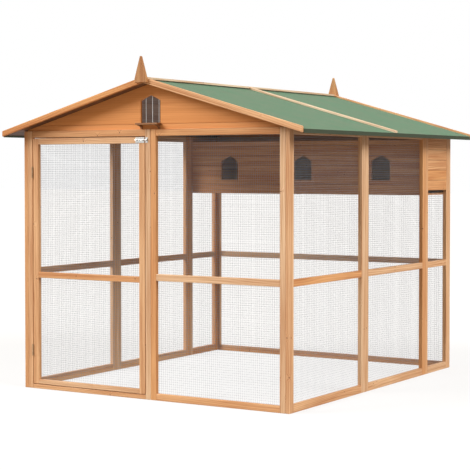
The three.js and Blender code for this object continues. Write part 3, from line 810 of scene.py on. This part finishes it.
def sloping(node, side, arris, material, tone=None):
    """A timber laid down the slope, rebuilt from its CAD outline with eased edges."""
    mesh = merged_copy(node)
    bmesh.ops.dissolve_limit(mesh, angle_limit=FLAT, verts=mesh.verts[:], edges=mesh.edges[:])
    ease(mesh, arris)
    fall = bpy.context.scene.loft_roof.pitch
    down = Vector((side * math.cos(fall), 0, -math.sin(fall)))
    bench = Bench(node + "_timber")
    bench.put(mesh, down, Y.cross(down).normalized(), tone)
    return bench.done(material, "loft", [node])


class LOFT_OT_roof(Operator):
    """Lay the roof: decks, felt, battens, verge boards and finials"""

    bl_idname = "loft.roof"
    bl_label = "Roof"

    def execute(self, context):
        t = context.scene.loft_timber
        grain = courses(1, 0, 0.0, context.scene.loft_roof.deck_board)
        # The roof boards' dark stain is painted shade under the roof
        deck = timber("Roof boards", t.deck_shade_pale, t.deck_shade_deep, grain)
        for side, sign in (("right", 1), ("left", -1)):
            for half in ("front", "rear"):
                dress(f"{half}_{side}_roof_deck", deck)
                laid_felt(f"{half}_{side}_felt")
                clout_nails(half, side)
                tone = 0.5 if side == "right" else 0.0
                sloping(f"{half}_{side}_barge", sign, t.arris, plain_timber(), tone)
            sloping(f"{side}_seam_batten", sign, t.arris, bare_timber())
        bench = Bench("ridge_batten_timber")
        bench.put(merged_copy("ridge_batten"), Y, X)
        bench.done(bare_timber(), "loft", ["ridge_batten"])
        finial = timber("Finial wood", t.finial_pale, t.finial_deep, carried_grain, 0.0)
        for node in ("front_finial", "rear_finial"):
            bench = Bench(node + "_board")
            bench.put(merged_copy(node), Z, X)
            bench.done(finial, "loft", [node])
        return {"FINISHED"}


# Fittings


def screws(name, places, outward, body):
    """Domed screw heads."""
    fittings = bpy.context.scene.loft_fittings
    mesh = bmesh.new()
    for place in places:
        head = bmesh.new()
        top = place + outward * fittings.screw_height
        rod(head, place - HEAD_ROOT * outward, top, fittings.screw_radius, SCREW_SIDES)
        caps = [face for face in head.faces if face.normal.dot(outward) > 0.9]
        ease(head, fittings.screw_radius / 4, [edge for cap in caps for edge in cap.edges])
        join(mesh, head)
    finished(mesh, name, metal("Screws", fittings.zinc, 0.35), body)


class LOFT_OT_fittings(Operator):
    """Finish the hinges, and the slide bolt with its screws"""

    bl_idname = "loft.fittings"
    bl_label = "Hinges and bolt"

    def execute(self, context):
        fittings = context.scene.loft_fittings
        zinc = metal("Bright zinc", fittings.zinc, 0.24)
        aged = metal("Aged zinc", fittings.aged, 0.45)
        for node in nodes:
            if "hinge" in node:
                dress(node, aged)
            elif "bolt" in node:
                dress(node, zinc)
        for node, body, steps in (("bolt_guide", "door", (-1, 0, 1)), ("bolt_keeper", "loft", (0,))):
            low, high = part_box(node)
            middle = (low + high) / 2
            middle.y = high.y - fittings.plate
            places = [
                middle + step * fittings.screw_step * X + side * fittings.screw_rise * Z
                for step in steps
                for side in (-1, 1)
            ]
            screws(node + "_screws", places, -Y, body)
        return {"FINISHED"}


# Floor, light and camera


class LOFT_OT_stage(Operator):
    """Set the floor, the lamps and the camera"""

    bl_idname = "loft.stage"
    bl_label = "Stage"

    def execute(self, context):
        stage = context.scene.loft_stage
        mesh = bmesh.new()
        bmesh.ops.create_grid(mesh, x_segments=1, y_segments=1, size=stage.floor_half)
        bmesh.ops.translate(mesh, verts=mesh.verts[:], vec=(0, 0, -MILLIMETRE / 2))
        data = bpy.data.meshes.new("floor")
        mesh.to_mesh(data)
        mesh.free()
        floor = bpy.data.objects.new("floor", data)
        context.scene.collection.objects.link(floor)
        material, s, surface = new_material("Floor")
        seen = s.backdrop()
        s.feed(surface.inputs["Base Color"], s.mix(seen, tuple(stage.floor), tuple(stage.ground)))
        surface.inputs["Roughness"].default_value = 0.9
        glow = s.add("ShaderNodeEmission", {"Color": WHITE, "Strength": 1.0})
        share = s.math("MULTIPLY", seen, stage.glow)
        both = s.add("ShaderNodeMixShader", {0: share, 1: surface.outputs[0], 2: glow.outputs[0]})
        s.feed(material.node_tree.nodes["Material Output"].inputs["Surface"], both.outputs[0])
        data.materials.append(material)

        world = bpy.data.worlds.new("Studio")
        context.scene.world = world
        world.use_nodes = True
        w = Shader(world.node_tree)
        background = world.node_tree.nodes["Background"]
        bright = w.backdrop()
        w.feed(background.inputs["Color"], w.mix(bright, tuple(stage.warmth), WHITE))
        rise = w.apart(w.add("ShaderNodeTexCoord").outputs["Generated"])[2]
        soft = w.between(rise, 0.0, 1.0, stage.level, stage.overhead)
        w.feed(background.inputs["Strength"], w.between(bright, 0.0, 1.0, soft, 1.0))

        lights = {"left": (stage.left, stage.left_from), "right": (stage.right, stage.right_from)}
        for name, (strength, towards) in lights.items():
            light = bpy.data.lights.new(f"Soft light {name}", "SUN")
            light.energy = strength
            light.angle = stage.spread
            lamp = bpy.data.objects.new(light.name, light)
            lamp.rotation_mode = "QUATERNION"
            lamp.rotation_quaternion = Vector(towards).to_track_quat("Z", "Y")
            context.scene.collection.objects.link(lamp)

        flat = Vector((math.sin(stage.yaw), math.cos(stage.yaw), 0))
        side = Vector((math.cos(stage.yaw), -math.sin(stage.yaw), 0))
        ahead = flat * math.cos(stage.tilt) + Z * math.sin(stage.tilt)
        view = bpy.data.cameras.new("Camera")
        view.lens = stage.focal
        view.sensor_width = 36
        view.clip_end = stage.reach
        view.shift_y = stage.rise
        camera = bpy.data.objects.new("Camera", view)
        turn = Matrix((side, side.cross(ahead), -ahead)).transposed().to_4x4()
        camera.matrix_world = Matrix.Translation(stage.camera_at) @ turn
        context.scene.collection.objects.link(camera)
        context.scene.camera = camera
        context.scene.view_settings.view_transform = "Standard"
        return {"FINISHED"}


class LOFT_PT_panel(Panel):
    """Lists the loft's pieces and their sizes and colours"""

    bl_idname = "LOFT_PT_panel"
    bl_label = "Pigeon loft"
    bl_space_type = "VIEW_3D"
    bl_region_type = "UI"
    bl_category = "Loft"

    def draw(self, context):
        layout = self.layout
        for operator in OPERATORS:
            layout.operator(operator.bl_idname)
        for name, group in SETTINGS.items():
            box = layout.box()
            box.label(text=group.__doc__)
            settings = getattr(context.scene, name)
            for prop in group.__annotations__:
                box.prop(settings, prop)


SETTINGS = {
    "loft_timber": LoftTimber,
    "loft_netting": LoftNetting,
    "loft_roof": LoftRoof,
    "loft_fittings": LoftFittings,
    "loft_stage": LoftStage,
}
OPERATORS = (
    LOFT_OT_walls,
    LOFT_OT_door,
    LOFT_OT_netting,
    LOFT_OT_boarding,
    LOFT_OT_nest_boxes,
    LOFT_OT_entry,
    LOFT_OT_roof,
    LOFT_OT_fittings,
    LOFT_OT_stage,
)


def register():
    for cls in (*SETTINGS.values(), *OPERATORS, LOFT_PT_panel):
        bpy.utils.register_class(cls)
    for name, group in SETTINGS.items():
        setattr(bpy.types.Scene, name, PointerProperty(type=group))


def unregister():
    for name in SETTINGS:
        delattr(bpy.types.Scene, name)
    for cls in reversed((*SETTINGS.values(), *OPERATORS, LOFT_PT_panel)):
        bpy.utils.unregister_class(cls)


def main():
    register()
    for operator in OPERATORS:
        group, name = operator.bl_idname.split(".")
        getattr(getattr(bpy.ops, group), name)()


if __name__ == "__main__":
    main()
